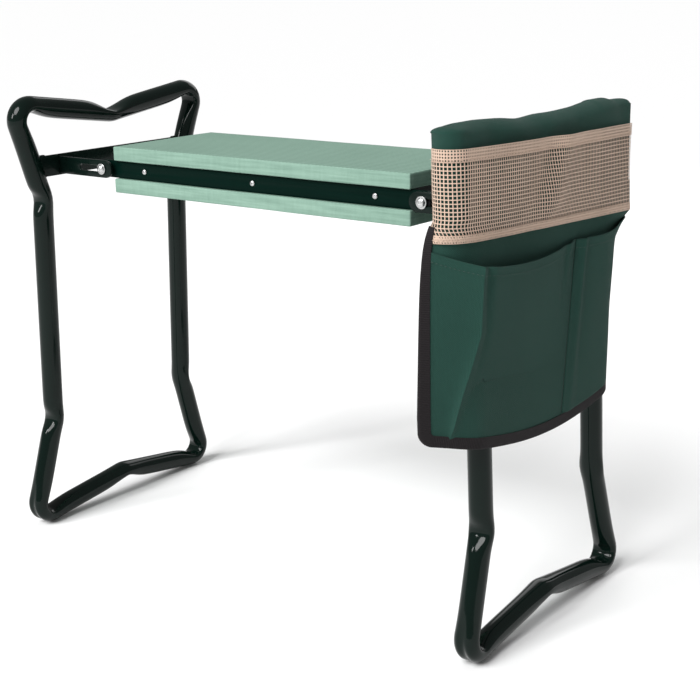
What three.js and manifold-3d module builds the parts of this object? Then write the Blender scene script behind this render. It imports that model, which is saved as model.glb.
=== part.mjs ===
// A folding garden kneeler that is also a seat: two foam pads on a steel-railed board, two bent-tube
// leg loops that hinge under it, and a tool pouch hung over the right-hand loop.
// Millimetres. +X runs along the seat to the pouch end, -Y is the front, +Z is up. The origin is on
// the ground, under the middle of the whole part's box.
import * as THREE from "three";
import { mergeVertices } from "three/addons/utils/BufferGeometryUtils.js";
import Module from "manifold-3d";

const wasm = await Module();
wasm.setup();

// ---- Driving dimensions ----
const GAP = 0.3; // between pieces that touch

// Seat
const PAD_LENGTH = 380;
const PAD_WIDTH = 150;
const PAD_THICKNESS = 14.9;
const PAD_CORNER = 4;
const BOARD_END_INSET = 3; // board end to pad end
const RAIL_HEIGHT = 18;
const RAIL_THICKNESS = 3;
const RAIL_INSET = 4; // pad edge to the rail's outer face
const RIVET_PITCH = 148.5;
const RIVET_HEAD_RADIUS = 3;
const RIVET_HEAD_HEIGHT = 1.6;
const RIVET_SHANK_RADIUS = 1.8;
const RIVET_LENGTH = 14;

// Hinges
const PIVOT_HEIGHT = 407.5; // bolt axis above the ground
const PIVOT_OVERHANG = 15; // pad end to the bolt axis
const BOLT_RADIUS = 3;
const BOLT_HEAD_RADIUS = 5.8;
const BOLT_HEAD_HEIGHT = 3.6;
const HOLE_CLEARANCE = 0.4;
const NUT_FLATS = 10;
const NUT_THICKNESS = 5;
const WASHER_RADIUS = 6.6;
const ARM_HEIGHT = 18.4;
const ARM_THICKNESS = 3;
const ARM_TAIL = 14; // bolt axis to the arm's rounded end
const ARM_CLEARANCE = 0.5; // pad edge to the arm's inner face
const SLOT_TRAVEL = 31; // how far the bolt can run along the arm's slot
const BAR_HEIGHT = 22.5;
const BAR_THICKNESS = 3;

// Leg loops. Heights are from the bolt axis, widths from the middle plane.
const TUBE_RADIUS = 11;
const TUBE_SIDES = 16;
const BEND_STEP = THREE.MathUtils.degToRad(14);
const LOOP_OFFSET = 69.5; // bolt axis out to the loop's plane
const LEG_SPLAY = THREE.MathUtils.degToRad(2);
const HANDLE_RISE = 68.5;
const HANDLE_DIP = 19;
const HANDLE_HALF_WIDTH = 136;
const WAIST_DROP = 33.5;
const WAIST_HALF_WIDTH = 102;
const KNEE_DROP = 284;
const FOOT_DROP = 396.5;
const FOOT_ARCH = 18;
const FOOT_HALF_WIDTH = 135;
const CORNER_BEND = 15;
const DIP_BEND = 25;
const KINK_BEND = 60;

// Tool pouch. Heights are from the bolt axis, along the leg.
const CLOTH = 1.5;
const POUCH_SIDE_EASE = 6; // handle's corner to the pouch's side
const POUCH_TUBE_CLEARANCE = 1.3; // tube to the front sheet
const HOOD_TUBE_CLEARANCE = 0.5; // tube to the hood's top and back
const HOOD_BAR_CLEARANCE = 6; // cross bar's top to the hood's lower edge
const FLAP_DROP = 206;
const BINDING_WIDTH = 8;
const BINDING_RETURN = 2.3; // how far the binding passes the hood's back edge, towards the seat
const POCKET_INSET = 3; // pouch side to the pockets' side
const MESH_THICKNESS = 1.2;
const MESH_TOP = 51;
const MESH_HEIGHT = 84;
const MESH_HEM = 10;
const MESH_BULGE = 13;
const POCKET_TOP = -45;
const POCKET_HEIGHT = 159;
const POCKET_BULGE = 20;
const DIVIDER_AT = 45; // seam between the main and the side pocket
const DIVIDER_WIDTH = 4;

// ---- Values that follow ----
const PAD_EDGE = PAD_WIDTH / 2;
const RAIL_OUTER = PAD_EDGE - RAIL_INSET;
const RAIL_INNER = RAIL_OUTER - RAIL_THICKNESS;
const ARM_INNER = PAD_EDGE + ARM_CLEARANCE;
const ARM_OUTER = ARM_INNER + ARM_THICKNESS;
const PIVOT_X = PAD_LENGTH / 2 + PIVOT_OVERHANG;
const RAIL_LENGTH = 2 * (PIVOT_X + RAIL_HEIGHT / 2);
const PANEL_FACE = TUBE_RADIUS + POUCH_TUBE_CLEARANCE; // panel's inner face, from the loop's plane
const HOOD_BACK = -TUBE_RADIUS - HOOD_TUBE_CLEARANCE;
const HOOD_FOOT = BAR_HEIGHT / 2 + HOOD_BAR_CLEARANCE;
const POUCH_HALF_WIDTH = HANDLE_HALF_WIDTH + TUBE_RADIUS + POUCH_SIDE_EASE;
const SIDES = { left: -1, right: 1 };
const ENDS = { front: -1, back: 1 };

// ---- Materials ----
const finish = (color, roughness, metalness) =>
  new THREE.MeshStandardMaterial({ color, roughness, metalness });
const FOAM = finish(0x8fb6a3, 0.85, 0);
const BOARD = finish(0x1d2723, 0.8, 0);
const RAIL_PAINT = finish(0x0c2a20, 0.4, 0.3);
const TUBE_PAINT = finish(0x0a1813, 0.2, 0.3);
const ZINC = finish(0xb9bcbd, 0.35, 0.9);
const NYLON = finish(0x16181a, 0.6, 0);
const POLYESTER = finish(0x24473d, 0.85, 0);
const MESH_CLOTH = finish(0xd8bfac, 0.8, 0);
const TAPE = finish(0x242122, 0.9, 0);

// ---- Helpers ----
const kneeler = new THREE.Group();

function piece(parent, name, geometry, material) {
  const mesh = new THREE.Mesh(geometry, material);
  mesh.name = name;
  parent.add(mesh);
  return mesh;
}

// A geometry as a manifold-3d solid.
function solid(geometry) {
  const bare = geometry.clone();
  bare.deleteAttribute("normal");
  bare.deleteAttribute("uv");
  const merged = mergeVertices(bare, 1e-3);
  return new wasm.Manifold(
    new wasm.Mesh({
      numProp: 3,
      vertProperties: merged.attributes.position.array,
      triVerts: new Uint32Array(merged.index.array),
    }),
  );
}

// A manifold-3d solid as a geometry.
function geometryOf(body) {
  const mesh = body.getMesh();
  const geometry = new THREE.BufferGeometry();
  const position = new THREE.BufferAttribute(mesh.vertProperties, mesh.numProp);
  geometry.setAttribute("position", position);
  geometry.setIndex(new THREE.BufferAttribute(mesh.triVerts, 1));
  geometry.computeVertexNormals();
  return geometry;
}

function box(low, high) {
  const size = high.map((value, i) => value - low[i]);
  const middle = high.map((value, i) => (value + low[i]) / 2);
  return new THREE.BoxGeometry(...size).translate(...middle);
}

// A flat outline, extruded from 0 to depth.
function extrude(shape, depth, curveSegments = 8) {
  return new THREE.ExtrudeGeometry(shape, { depth, bevelEnabled: false, curveSegments });
}

// An outline drawn in X and Z, extruded along Y from `low` to `high`.
function plateAlongY(shape, low, high, curveSegments = 8) {
  const geometry = extrude(shape, high - low, curveSegments);
  return geometry.rotateX(Math.PI / 2).translate(0, high, 0);
}

function roundedRectangle(length, width, radius) {
  const x = length / 2;
  const y = width / 2;
  const quarter = Math.PI / 2;
  return new THREE.Shape()
    .absarc(x - radius, y - radius, radius, 0, quarter)
    .absarc(radius - x, y - radius, radius, quarter, 2 * quarter)
    .absarc(radius - x, radius - y, radius, 2 * quarter, 3 * quarter)
    .absarc(x - radius, radius - y, radius, 3 * quarter, 4 * quarter);
}

// A bar's side view in X and Z with one or two round ends, and round or slotted holes.
function barOutline(fromX, toX, height, roundFrom, roundTo) {
  const r = height / 2;
  const shape = new THREE.Shape();
  if (roundTo) shape.absarc(toX - r, 0, r, -Math.PI / 2, Math.PI / 2);
  else shape.moveTo(toX, -r).lineTo(toX, r);
  if (roundFrom) shape.absarc(fromX + r, 0, r, Math.PI / 2, (3 * Math.PI) / 2);
  else shape.lineTo(fromX, r).lineTo(fromX, -r);
  return shape;
}

function slotPath(fromX, toX, radius) {
  const path = new THREE.Path();
  path.absarc(toX, 0, radius, -Math.PI / 2, Math.PI / 2);
  path.absarc(fromX, 0, radius, Math.PI / 2, (3 * Math.PI) / 2);
  return path;
}

// A body turned about the Y axis. Points are [radius, distance outwards]; `end` is -1 or 1.
function turnedAlongY(points, end, segments = 16) {
  const outline = points.map(([r, y]) => new THREE.Vector2(r, y));
  const geometry = new THREE.LatheGeometry(outline, segments);
  return end > 0 ? geometry : geometry.rotateX(Math.PI);
}

// A closed tube path through exact stations: two ends for a straight, a few for each bend.
class StationPath extends THREE.Curve {
  constructor(stations) {
    super();
    this.stations = stations;
  }
  getUtoTmapping(u) {
    return u;
  }
  station(t) {
    return this.stations[Math.round(t * this.stations.length) % this.stations.length];
  }
  getPoint(t) {
    return this.station(t).point.clone();
  }
  getTangent(t) {
    return this.station(t).tangent.clone();
  }
}

// Stations round a closed outline in the YZ plane, each corner bent to its own radius.
function bendStations(corners) {
  const at = (i) => corners[(i + corners.length) % corners.length];
  return corners.flatMap((corner, i) => {
    const here = new THREE.Vector2(corner.y, corner.z);
    const arriving = here.clone().sub(new THREE.Vector2(at(i - 1).y, at(i - 1).z)).normalize();
    const leaving = new THREE.Vector2(at(i + 1).y, at(i + 1).z).sub(here).normalize();
    const turn = Math.atan2(arriving.cross(leaving), arriving.dot(leaving));
    const hand = Math.sign(turn);
    const tangentLength = corner.bend * Math.tan(Math.abs(turn) / 2);
    const start = here.clone().addScaledVector(arriving, -tangentLength);
    const toCentre = new THREE.Vector2(-arriving.y, arriving.x).multiplyScalar(hand * corner.bend);
    const centre = start.clone().add(toCentre);
    const steps = Math.max(2, Math.ceil(Math.abs(turn) / BEND_STEP));
    return Array.from({ length: steps + 1 }, (_, k) => {
      const angle = (turn * k) / steps;
      const point = start.clone().rotateAround(centre, angle);
      const tangent = arriving.clone().rotateAround(new THREE.Vector2(), angle);
      return {
        point: new THREE.Vector3(0, point.x, point.y),
        tangent: new THREE.Vector3(0, tangent.x, tangent.y),
      };
    });
  });
}

// The corners of a leg loop, round from the front foot.
function loopCorners() {
  const half = [
    { y: FOOT_HALF_WIDTH, z: -FOOT_DROP, bend: CORNER_BEND },
    { y: WAIST_HALF_WIDTH, z: -KNEE_DROP, bend: KINK_BEND },
    { y: WAIST_HALF_WIDTH, z: -WAIST_DROP, bend: KINK_BEND },
    { y: HANDLE_HALF_WIDTH, z: HANDLE_RISE, bend: CORNER_BEND },
  ];
  const back = half.map((c) => ({ ...c }));
  const front = half.map((c) => ({ ...c, y: -c.y })).reverse();
  const handleMiddle = { y: 0, z: HANDLE_RISE - HANDLE_DIP, bend: DIP_BEND };
  const footMiddle = { y: 0, z: -FOOT_DROP + FOOT_ARCH, bend: DIP_BEND };
  return [footMiddle, ...back, handleMiddle, ...front];
}

// The upper leg's half width at a height above the bolt axis.
function upperLegHalfWidth(z) {
  const share = (z + WAIST_DROP) / (HANDLE_RISE + WAIST_DROP);
  return WAIST_HALF_WIDTH + share * (HANDLE_HALF_WIDTH - WAIST_HALF_WIDTH);
}

// A sheet with its low corner at `low`, bulging outwards along X by bulge(across, up), both 0 to 1.
function bulgedSheet(low, size, bulge, columns = 14, rows = 5) {
  const sheet = new THREE.BoxGeometry(...size, 1, columns, rows);
  sheet.translate(size[0] / 2, size[1] / 2, size[2] / 2);
  const p = sheet.attributes.position;
  for (let i = 0; i < p.count; i++) {
    p.setX(i, p.getX(i) + bulge(p.getY(i) / size[1], p.getZ(i) / size[2]));
  }
  return sheet.translate(...low);
}

// ---- Seat ----
function addSeat() {
  const seat = new THREE.Group();
  seat.position.z = PIVOT_HEIGHT;
  kneeler.add(seat);
  const face = RAIL_HEIGHT / 2 + GAP;
  const pad = extrude(roundedRectangle(PAD_LENGTH, PAD_WIDTH, PAD_CORNER), PAD_THICKNESS, 3);
  piece(seat, "top_pad", pad.clone().translate(0, 0, face), FOAM);
  piece(seat, "bottom_pad", pad.translate(0, 0, -face - PAD_THICKNESS), FOAM);

  const rivetPlaces = [-RIVET_PITCH, 0, RIVET_PITCH];
  const boardX = PAD_LENGTH / 2 - BOARD_END_INSET;
  const boardY = RAIL_INNER - GAP;
  const boardZ = RAIL_HEIGHT / 2;
  let board = solid(box([-boardX, -boardY, -boardZ], [boardX, boardY, boardZ]));
  for (const [end, way] of Object.entries(ENDS)) {
    const railShape = barOutline(-RAIL_LENGTH / 2, RAIL_LENGTH / 2, RAIL_HEIGHT, true, true);
    const holes = rivetPlaces.map((x) => [x, RIVET_SHANK_RADIUS + HOLE_CLEARANCE]);
    for (const x of [-PIVOT_X, PIVOT_X]) holes.push([x, BOLT_RADIUS + HOLE_CLEARANCE]);
    for (const [x, r] of holes) {
      railShape.holes.push(new THREE.Path().absarc(x, 0, r, 0, 2 * Math.PI));
    }
    const [near, far] = [way * RAIL_INNER, way * RAIL_OUTER].sort((a, b) => a - b);
    piece(seat, end + "_rail", plateAlongY(railShape, near, far), RAIL_PAINT);

    rivetPlaces.forEach((x, i) => {
      const seatFace = RAIL_OUTER + GAP;
      const tip = seatFace - RIVET_LENGTH;
      const outline = [
        [0, tip],
        [RIVET_SHANK_RADIUS, tip],
        [RIVET_SHANK_RADIUS, seatFace],
        [RIVET_HEAD_RADIUS, seatFace],
        [RIVET_HEAD_RADIUS * 0.9, seatFace + RIVET_HEAD_HEIGHT * 0.5],
        [RIVET_HEAD_RADIUS * 0.6, seatFace + RIVET_HEAD_HEIGHT * 0.85],
        [0, seatFace + RIVET_HEAD_HEIGHT],
      ];
      const rivet = turnedAlongY(outline, way, 12).translate(x, 0, 0);
      piece(seat, "rivet_" + end + "_" + (i + 1), rivet, ZINC);
      const drilled = [
        [0, tip - GAP],
        [RIVET_SHANK_RADIUS + GAP, tip - GAP],
        [RIVET_SHANK_RADIUS + GAP, RAIL_OUTER],
        [0, RAIL_OUTER],
      ];
      board = board.subtract(solid(turnedAlongY(drilled, way, 8).translate(x, 0, 0)));
    });
  }
  piece(seat, "seat_board", geometryOf(board), BOARD);
  return seat;
}

// ---- Hinge bolts: round-headed bolt outside, washer between rail and arm, nut inside ----
function addPivots(seat, sideName, side) {
  for (const [end, way] of Object.entries(ENDS)) {
    const place = sideName + "_" + end;
    const x = side * PIVOT_X;
    const headFace = ARM_OUTER + GAP;
    const nutOuter = RAIL_INNER - GAP;
    const nutInner = nutOuter - NUT_THICKNESS;
    const bolt = [
      [0, nutInner - 2],
      [BOLT_RADIUS, nutInner - 2],
      [BOLT_RADIUS, headFace],
      [BOLT_HEAD_RADIUS, headFace],
      [BOLT_HEAD_RADIUS, headFace + BOLT_HEAD_HEIGHT * 0.35],
      [BOLT_HEAD_RADIUS * 0.86, headFace + BOLT_HEAD_HEIGHT * 0.75],
      [BOLT_HEAD_RADIUS * 0.5, headFace + BOLT_HEAD_HEIGHT],
      [0, headFace + BOLT_HEAD_HEIGHT],
    ];
    piece(seat, "pivot_bolt_" + place, turnedAlongY(bolt, way).translate(x, 0, 0), ZINC);

    const bore = BOLT_RADIUS + GAP;
    const washer = [
      [bore, RAIL_OUTER + GAP],
      [WASHER_RADIUS, RAIL_OUTER + GAP],
      [WASHER_RADIUS, ARM_INNER - GAP],
      [bore, ARM_INNER - GAP],
      [bore, RAIL_OUTER + GAP],
    ];
    piece(seat, "pivot_washer_" + place, turnedAlongY(washer, way).translate(x, 0, 0), NYLON);

    const hexagon = new THREE.Shape();
    for (let k = 0; k < 6; k++) {
      const angle = (k * Math.PI) / 3;
      const reach = NUT_FLATS / 2 / Math.cos(Math.PI / 6);
      hexagon[k ? "lineTo" : "moveTo"](reach * Math.cos(angle), reach * Math.sin(angle));
    }
    hexagon.holes.push(new THREE.Path().absarc(0, 0, bore, 0, 2 * Math.PI));
    const [near, far] = [way * nutInner, way * nutOuter].sort((a, b) => a - b);
    piece(seat, "pivot_nut_" + place, plateAlongY(hexagon, near, far).translate(x, 0, 0), ZINC);
  }
}

// ---- Leg loop with its cross bar and hinge arms ----
function addLegs(sideName, side) {
  const legs = new THREE.Group(); // on the bolt axis
  legs.position.set(side * PIVOT_X, 0, PIVOT_HEIGHT);
  kneeler.add(legs);
  const plane = side * LOOP_OFFSET;
  const leaning = new THREE.Group(); // in the loop's own plane, feet outwards
  leaning.position.x = plane;
  leaning.rotation.y = -side * LEG_SPLAY;
  legs.add(leaning);

  const stations = bendStations(loopCorners());
  const path = new StationPath(stations);
  const tube = new THREE.TubeGeometry(path, stations.length, TUBE_RADIUS, TUBE_SIDES, true);
  piece(leaning, sideName + "_leg_loop", tube, TUBE_PAINT);

  const low = -BAR_HEIGHT / 2;
  const high = BAR_HEIGHT / 2;
  const reachAt = (z) => upperLegHalfWidth(z) - TUBE_RADIUS * 1.06 - GAP;
  const barShape = new THREE.Shape()
    .moveTo(-reachAt(low), low)
    .lineTo(reachAt(low), low)
    .lineTo(reachAt(high), high)
    .lineTo(-reachAt(high), high);
  const bar = extrude(barShape, BAR_THICKNESS).rotateX(Math.PI / 2).rotateZ(Math.PI / 2);
  bar.translate(plane - BAR_THICKNESS / 2, 0, 0);
  piece(legs, sideName + "_cross_bar", bar, TUBE_PAINT);

  const root = LOOP_OFFSET - BAR_THICKNESS / 2 - GAP;
  for (const [end, way] of Object.entries(ENDS)) {
    const armShape = barOutline(-ARM_TAIL, root, ARM_HEIGHT, true, false);
    armShape.holes.push(slotPath(0, SLOT_TRAVEL, BOLT_RADIUS + HOLE_CLEARANCE));
    const [near, far] = [way * ARM_INNER, way * ARM_OUTER].sort((a, b) => a - b);
    const arm = plateAlongY(armShape, near, far);
    if (side < 0) arm.rotateZ(Math.PI).translate(0, near + far, 0);
    piece(legs, sideName + "_hinge_arm_" + end, arm, TUBE_PAINT);
  }
  return leaning;
}

// The panel's outline from above: a front sheet with a side at each end, back to `back`.
function panelPlan(back) {
  const inner = PANEL_FACE;
  const outer = inner + CLOTH;
  const edge = POUCH_HALF_WIDTH;
  return new THREE.Shape()
    .moveTo(outer, -edge)
    .lineTo(outer, edge)
    .lineTo(back, edge)
    .lineTo(back, edge - CLOTH)
    .lineTo(inner, edge - CLOTH)
    .lineTo(inner, CLOTH - edge)
    .lineTo(back, CLOTH - edge)
    .lineTo(back, -edge);
}

// ---- Tool pouch, in the right-hand loop's plane ----
function addPouch(pouch) {
  const outer = PANEL_FACE + CLOTH;
  const bindingBack = HOOD_BACK - BINDING_RETURN;
  const edge = POUCH_HALF_WIDTH;
  const handleTop = Math.max(...bendStations(loopCorners()).map(({ point }) => point.z));
  const hoodTop = handleTop + TUBE_RADIUS + HOOD_TUBE_CLEARANCE;
  const panelTop = hoodTop - GAP;

  // Panel: closed sides at the hood, narrower ones down the flap where the binding takes over.
  const sleeve = extrude(panelPlan(HOOD_BACK), panelTop - HOOD_FOOT).translate(0, 0, HOOD_FOOT);
  const flapPlan = panelPlan(bindingBack + BINDING_WIDTH + GAP);
  const flap = extrude(flapPlan, HOOD_FOOT + FLAP_DROP + 1).translate(0, 0, -FLAP_DROP);
  piece(pouch, "pouch_panel", geometryOf(solid(sleeve).add(solid(flap))), POLYESTER);

  // Hood: over the handle and down behind it.
  const inner = HOOD_BACK - GAP;
  const hoodShape = new THREE.Shape()
    .moveTo(inner - CLOTH, HOOD_FOOT)
    .lineTo(inner, HOOD_FOOT)
    .lineTo(inner, hoodTop)
    .lineTo(outer, hoodTop)
    .lineTo(outer, hoodTop + CLOTH)
    .lineTo(inner - CLOTH, hoodTop + CLOTH);
  piece(pouch, "pouch_hood", plateAlongY(hoodShape, -edge, edge), POLYESTER);

  // Binding: round the flap's bottom edge and up the back edge of each side.
  const hemLow = -FLAP_DROP - GAP - BINDING_WIDTH;
  let binding = solid(extrude(panelPlan(bindingBack), BINDING_WIDTH).translate(0, 0, hemLow));
  for (const way of Object.values(ENDS)) {
    const [near, far] = [way * (edge - CLOTH), way * edge].sort((a, b) => a - b);
    const tapeFront = bindingBack + BINDING_WIDTH;
    const tape = box([bindingBack, near, hemLow], [tapeFront, far, HOOD_FOOT - GAP]);
    binding = binding.add(solid(tape));
  }
  piece(pouch, "pouch_binding", geometryOf(binding), TAPE);

  // Pockets: sheets sewn flat at the sides and bottom, standing off at the top.
  const arch = (across) => Math.sin(Math.PI * across);
  const from = POCKET_INSET - edge;
  const to = edge - POCKET_INSET;
  const front = outer + GAP;
  const meshShare = (up, base, height) => (base + up * height) / MESH_HEIGHT;
  const meshBulge = (base, height) => (across, up) =>
    MESH_BULGE * arch(across) * Math.sin((Math.PI / 2) * Math.min(1, meshShare(up, base, height)));
  const bodyHeight = MESH_HEIGHT - MESH_HEM - GAP;
  const meshLow = MESH_TOP - MESH_HEIGHT;
  const meshBody = [MESH_THICKNESS, to - from, bodyHeight];
  const meshHem = [MESH_THICKNESS * 1.6, to - from, MESH_HEM];
  const rimLow = MESH_TOP - MESH_HEM;
  const body = bulgedSheet([front, from, meshLow], meshBody, meshBulge(0, bodyHeight));
  piece(pouch, "mesh_pocket", body, MESH_CLOTH);
  const rim = bulgedSheet([front, from, rimLow], meshHem, meshBulge(bodyHeight, MESH_HEM), 14, 1);
  piece(pouch, "mesh_pocket_hem", rim, MESH_CLOTH);

  const pocketLow = POCKET_TOP - POCKET_HEIGHT;
  const swell = (across, up) => POCKET_BULGE * arch(across) * (0.15 + 0.85 * up);
  const seam = DIVIDER_AT - DIVIDER_WIDTH / 2;
  const mainSize = [CLOTH, seam - from, POCKET_HEIGHT];
  piece(pouch, "main_pocket", bulgedSheet([front, from, pocketLow], mainSize, swell), POLYESTER);
  const sideFrom = seam + DIVIDER_WIDTH;
  const sideSize = [CLOTH, to - sideFrom, POCKET_HEIGHT];
  const sidePocket = bulgedSheet([front, sideFrom, pocketLow], sideSize, swell, 8);
  piece(pouch, "side_pocket", sidePocket, POLYESTER);
}

const seat = addSeat();
for (const [name, side] of Object.entries(SIDES)) {
  addPivots(seat, name, side);
  const legs = addLegs(name, side);
  if (name === "right") addPouch(legs);
}

// The part's own frame: on the ground, under the middle of the box.
const part = new THREE.Group();
part.add(kneeler);
const bounds = new THREE.Box3().setFromObject(part, true);
kneeler.position.set(-(bounds.min.x + bounds.max.x) / 2, 0, -bounds.min.z);

export default part;
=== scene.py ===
# %% [markdown]
# # A garden kneeler that is also a seat
# The kneeler is a board with two foam pads, edged by steel rails, with a bent-tube leg loop at each
# end and a cloth tool pouch over the right-hand loop. The measured model gives every place and size.
# This script gives each piece its finished shape and surface.

# %% The measured frame
import math

import bmesh
import bpy
from mathutils import Matrix, Vector, noise


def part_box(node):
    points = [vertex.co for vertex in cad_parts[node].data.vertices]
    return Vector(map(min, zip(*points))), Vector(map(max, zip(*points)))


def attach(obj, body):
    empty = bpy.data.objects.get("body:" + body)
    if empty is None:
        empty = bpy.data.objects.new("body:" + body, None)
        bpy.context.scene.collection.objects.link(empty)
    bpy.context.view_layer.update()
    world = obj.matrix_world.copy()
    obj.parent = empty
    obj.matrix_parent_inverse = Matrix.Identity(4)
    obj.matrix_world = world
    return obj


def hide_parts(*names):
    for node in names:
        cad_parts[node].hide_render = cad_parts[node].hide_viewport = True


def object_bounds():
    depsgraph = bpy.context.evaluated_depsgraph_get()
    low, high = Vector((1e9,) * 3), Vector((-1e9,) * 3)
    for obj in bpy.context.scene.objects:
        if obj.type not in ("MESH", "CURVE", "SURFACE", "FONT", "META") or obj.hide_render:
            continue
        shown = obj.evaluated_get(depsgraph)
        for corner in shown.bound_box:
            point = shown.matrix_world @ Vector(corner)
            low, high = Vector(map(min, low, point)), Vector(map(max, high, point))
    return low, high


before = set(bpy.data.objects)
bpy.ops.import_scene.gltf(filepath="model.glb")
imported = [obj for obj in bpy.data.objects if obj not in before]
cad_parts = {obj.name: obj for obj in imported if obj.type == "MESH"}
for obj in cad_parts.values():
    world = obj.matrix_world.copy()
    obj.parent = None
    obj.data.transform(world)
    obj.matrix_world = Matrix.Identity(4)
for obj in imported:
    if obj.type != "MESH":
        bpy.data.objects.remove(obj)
cad_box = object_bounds()
MM = 0.001


def middle(node):
    low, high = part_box(node)
    return (Vector(low) + Vector(high)) / 2


def in_scene(name, data):
    thing = bpy.data.objects.new(name, data)
    bpy.context.scene.collection.objects.link(thing)
    return thing


BOARD = middle("seat_board")
SIDES = {"left": -1, "right": 1}
ENDS = {"front": -1, "back": 1}
LEG_BODY = {"left": "left_legs", "right": "right_legs"}
BOLT_BODY = {"left": "left_pivots", "right": "seat"}
print("seat centre", [round(c, 4) for c in BOARD])

# %% [markdown]
# ## The camera
# It stands to the front right, a little above the seat. It comes first, so that every piece can be
# looked at from where it will be seen. It is aimed by three turns: round the kneeler, down, and a
# slight roll.

# %% Camera
CAMERA_AZIMUTH = math.radians(37.868)
CAMERA_ELEVATION = math.radians(15.333)
CAMERA_ROLL = math.radians(-1.022)
CAMERA_PLACE = Vector((0.9078, -1.0891, 0.2035))  # from the middle of the board

lens = bpy.data.cameras.new("camera")
lens.sensor_width = 36
lens.lens = 72.34
lens.clip_end = 200
camera = in_scene("camera", lens)
camera.matrix_world = (
    Matrix.Translation(BOARD + CAMERA_PLACE)
    @ Matrix.Rotation(CAMERA_AZIMUTH, 4, "Z")
    @ Matrix.Rotation(math.pi / 2 - CAMERA_ELEVATION, 4, "X")
    @ Matrix.Rotation(CAMERA_ROLL, 4, "Z")
)
bpy.context.scene.camera = camera

# %% [markdown]
# ## Shader arithmetic
# A pattern such as a weave is easier to read as a formula than as a web of nodes. `Signal` wraps one
# shader socket, and adding or multiplying signals adds the Math nodes. Every other node comes from
# `Finish.node`, which takes a node's type, its settings and its inputs.


# %% Signals and finishes
class Signal:
    def __init__(self, finish, socket):
        self.finish = finish
        self.socket = socket

    def math(self, operation, *others):
        inputs = {i: value for i, value in enumerate((self, *others))}
        return self.finish.node("ShaderNodeMath", {"operation": operation}, inputs)

    def __add__(self, other):
        return self.math("ADD", other)

    def __mul__(self, other):
        return self.math("MULTIPLY", other)

    def __sub__(self, other):
        return self.math("SUBTRACT", other)

    def __rsub__(self, other):
        return self * -1 + other

    def sine(self):
        return self.math("SINE")

    def size(self):
        return self.math("ABSOLUTE")

    def larger(self, other):
        return self.math("MAXIMUM", other)

    def smaller(self, other):
        return self.math("MINIMUM", other)

    def above(self, other):
        return self.math("GREATER_THAN", other)

    def clamp(self):
        return self.larger(0).smaller(1)


class Finish:
    """One material, with its Principled shader and the means to add nodes to it."""

    def __init__(self, name, **constants):
        self.material = bpy.data.materials.new(name)
        self.material.use_nodes = True
        self.tree = self.material.node_tree
        self.shader = self.tree.nodes["Principled BSDF"]
        for socket, value in constants.items():
            self.shader.inputs[socket.replace("_", " ")].default_value = value

    def node(self, kind, settings, inputs, output=0):
        node = self.tree.nodes.new(kind)
        for key, value in settings.items():
            setattr(node, key, value)
        for key, value in inputs.items():
            if isinstance(value, Signal):
                self.tree.links.new(value.socket, node.inputs[key])
            else:
                node.inputs[key].default_value = value
        return Signal(self, node.outputs[output])

    def place(self):
        """Object coordinates, in metres."""
        return self.node("ShaderNodeTexCoord", {}, {}, "Object")

    def cloth_place(self):
        """The piece's own UV map, in metres of cloth."""
        return self.node("ShaderNodeUVMap", {"uv_map": "cloth"}, {})

    def axes(self, vector):
        return [self.node("ShaderNodeSeparateXYZ", {}, {0: vector}, i) for i in range(3)]

    def noise(self, vector, scale, detail=3, roughness=0.5):
        inputs = {"Vector": vector, "Scale": scale, "Detail": detail, "Roughness": roughness}
        return self.node("ShaderNodeTexNoise", {"noise_dimensions": "3D"}, inputs)

    def stretch(self, vector, scale):
        return self.node("ShaderNodeMapping", {}, {"Vector": vector, "Scale": scale})

    def blend(self, share, first, second):
        inputs = {0: share, 6: first, 7: second}
        return self.node("ShaderNodeMix", {"data_type": "RGBA"}, inputs, 2)

    def bump(self, height, distance, strength=1.0):
        inputs = {"Height": height, "Distance": distance, "Strength": strength}
        self.wire("Normal", self.node("ShaderNodeBump", {}, inputs))

    def wire(self, socket, signal):
        self.tree.links.new(signal.socket, self.shader.inputs[socket])


# %% [markdown]
# ## Gloss enamel
# The tubes, cross bars, arms and rails are coated in a very dark green enamel, glossy on the tubes and
# dull on the rails. It is never optically flat: it has a faint orange peel, and handling dulls it in
# small patches.


# %% Enamel
def enamel(name, color, roughness, gloss, peel=0.00003):
    coat = Finish(name, Specular_IOR_Level=gloss, Coat_Weight=gloss, Coat_Roughness=0.04)
    place = coat.place()
    patches = coat.noise(place, 22, 4)
    coat.wire("Base Color", coat.blend(patches, [c * 0.75 for c in color] + [1], color + [1]))
    coat.wire("Roughness", coat.noise(place, 60, 4) * 0.1 + (roughness - 0.05))
    coat.bump(coat.noise(place, 700, 2), peel)
    return coat.material


TUBE_ENAMEL = enamel("tube_enamel", [0.0022, 0.0078, 0.0058], 0.1, 0.13)
FLAT_ENAMEL = enamel("flat_bar_enamel", [0.0025, 0.0085, 0.0064], 0.28, 0.1)
RAIL_ENAMEL = enamel("rail_enamel", [0.0012, 0.0105, 0.0075], 0.42, 0.02)

# %% [markdown]
# ## Zinc plate, nylon and board
# Bolts and rivets are bright zinc with fine turning marks. The spacers are black nylon. Only the ends
# of the board show, dark and dull.


# %% Zinc, nylon, board
def zinc_plate():
    zinc = Finish("zinc_plate", Metallic=1.0)
    place = zinc.place()
    bloom = zinc.noise(place, 350, 3)
    zinc.wire("Base Color", zinc.blend(bloom, (0.42, 0.42, 0.43, 1), (0.72, 0.72, 0.71, 1)))
    zinc.wire("Roughness", bloom * 0.25 + 0.2)
    zinc.bump(zinc.noise(place, 2500, 2), 0.00003)
    return zinc.material


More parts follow.
